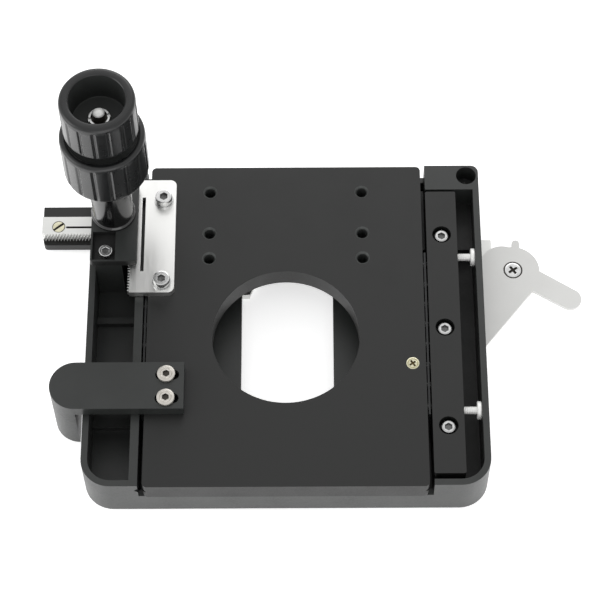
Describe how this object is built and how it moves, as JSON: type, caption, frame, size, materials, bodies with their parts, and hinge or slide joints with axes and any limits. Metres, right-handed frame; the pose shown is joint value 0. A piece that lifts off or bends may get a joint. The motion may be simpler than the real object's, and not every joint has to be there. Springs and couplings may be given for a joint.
{
  "type": "mechanical microscope stage",
  "caption": "Attachable microscope stage: a carriage on ball ways round a holed mount plate, a rack-driven slide bar with a spring finger, and two coaxial drive knobs.",
  "frame": {"origin": "axis of the round light hole, on the mount plate's face that meets the microscope", "axes": "+Z leaves the mount face, up the knobs; +X along the specimen slide, towards the clamp finger; +Y towards the racks. In use the stage is turned over, so that the knobs hang down."},
  "size_m": [0.1724, 0.1116, 0.0911],
  "materials": {
    "black_casting": "semi-matt black coat on cast alloy",
    "black_anodised": "satin black anodised",
    "gloss_black": "glossy black enamel",
    "knob_black": "satin moulded black",
    "bright_steel": "ground and nickel plated",
    "screw_steel": "bright zinc",
    "yellow_screw": "yellow zinc",
    "finger_grey": "satin nickel"
  },
  "bodies": {
    "fixed_plate": {"mount_plate": "black_anodised", "stop_screw": "yellow_screw", "y_rack": "bright_steel", "y_rack_washers": "screw_steel", "y_rack_screws": "screw_steel", "index_bracket": "black_casting", "index_screws": "screw_steel"},
    "carriage": {"carriage": "black_casting", "gib_rail": "black_anodised", "gib_rail_screws": "screw_steel", "gib_jack_screws": "screw_steel", "knob_bracket": "black_casting", "bracket_screws": "screw_steel", "column_sleeve": "gloss_black", "x_way_rod": "bright_steel"},
    "ball_cages": {"left_ball_cage": "bright_steel", "right_ball_cage": "bright_steel", "left_way_balls": "screw_steel", "right_way_balls": "screw_steel"},
    "y_drive": {"y_drive_tube": "bright_steel", "y_knob": "knob_black", "y_knob_grub_screw": "screw_steel"},
    "x_drive": {"x_drive_shaft": "screw_steel", "knob_spacer": "black_anodised", "x_knob": "knob_black", "x_knob_nut": "screw_steel"},
    "slide_bar": {"x_bar": "black_anodised", "x_rack": "bright_steel", "x_rack_screws": "yellow_screw", "slide_holder": "bright_steel", "holder_screws": "screw_steel", "finger_pivot_screw": "screw_steel", "finger_spring": "bright_steel"},
    "finger": {"clamp_finger": "finger_grey"}
  },
  "joints": [
    {"name": "y_travel", "type": "slide", "parent": "fixed_plate", "child": "carriage", "axis": [0, 1, 0], "range_m": [-0.025, 0.01]},
    {"name": "cage_travel", "type": "slide", "parent": "fixed_plate", "child": "ball_cages", "axis": [0, 1, 0], "range_m": [-0.0126, 0.0051]},
    {"name": "y_knob_turn", "type": "hinge", "parent": "carriage", "child": "y_drive", "pos_m": [-0.0538, 0.0404, 0.04], "axis": [0, 0, 1], "range_deg": [-116, 288]},
    {"name": "x_travel", "type": "slide", "parent": "carriage", "child": "slide_bar", "axis": [1, 0, 0], "range_m": [-0.055, 0.016]},
    {"name": "x_knob_turn", "type": "hinge", "parent": "carriage", "child": "x_drive", "pos_m": [-0.0538, 0.0404, 0.06], "axis": [0, 0, 1], "range_deg": [-295, 1012]},
    {"name": "finger_turn", "type": "hinge", "parent": "slide_bar", "child": "finger", "pos_m": [0.0726, 0.0327, -0.0184], "axis": [0, 0, 1], "range_deg": [0, 30], "stiffness_Nm_per_rad": 0.05, "springref_deg": -34.38}
  ],
  "couplings": [
    {"joint": "cage_travel", "follows": "y_travel", "ratio": 0.5},
    {"joint": "y_knob_turn", "follows": "y_travel", "rad_per_m": -200.36},
    {"joint": "x_knob_turn", "follows": "x_travel", "rad_per_m": -320.57}
  ]
}
